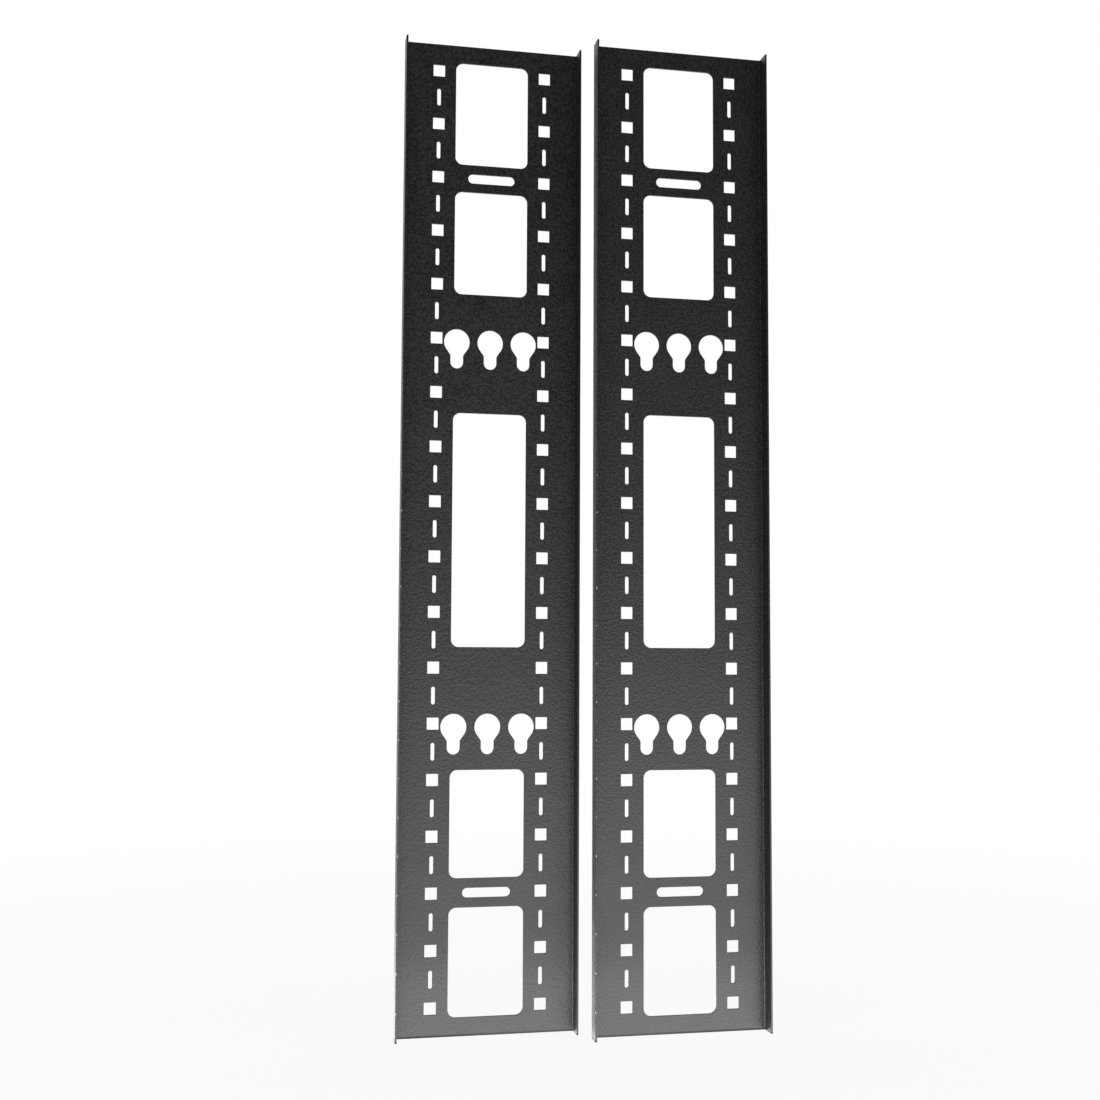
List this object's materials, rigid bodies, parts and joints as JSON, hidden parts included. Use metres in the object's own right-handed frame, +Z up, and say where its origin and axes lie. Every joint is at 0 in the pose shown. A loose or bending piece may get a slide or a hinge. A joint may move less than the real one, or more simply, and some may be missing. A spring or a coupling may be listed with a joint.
{
  "type": "vertical cable manager",
  "caption": "Tall punched sheet-steel channels, standing side by side, that route cables in a rack, with square holes, tie slots, keyholes and cable windows.",
  "frame": {"origin": "under the middle of the pair, on the plane that the two panels stand on", "axes": "+Z up along the panels' height, +X to the right along the webs, -Y the way the flanges point, which is the side that cables lie on"},
  "size_m": [0.298, 0.039, 0.8001],
  "materials": {
    "powder_coat": "fine-textured semi-matte black powder coat"
  },
  "bodies": {
    "root": {"left_panel": "powder_coat", "right_panel": "powder_coat"}
  },
  "joints": []
}
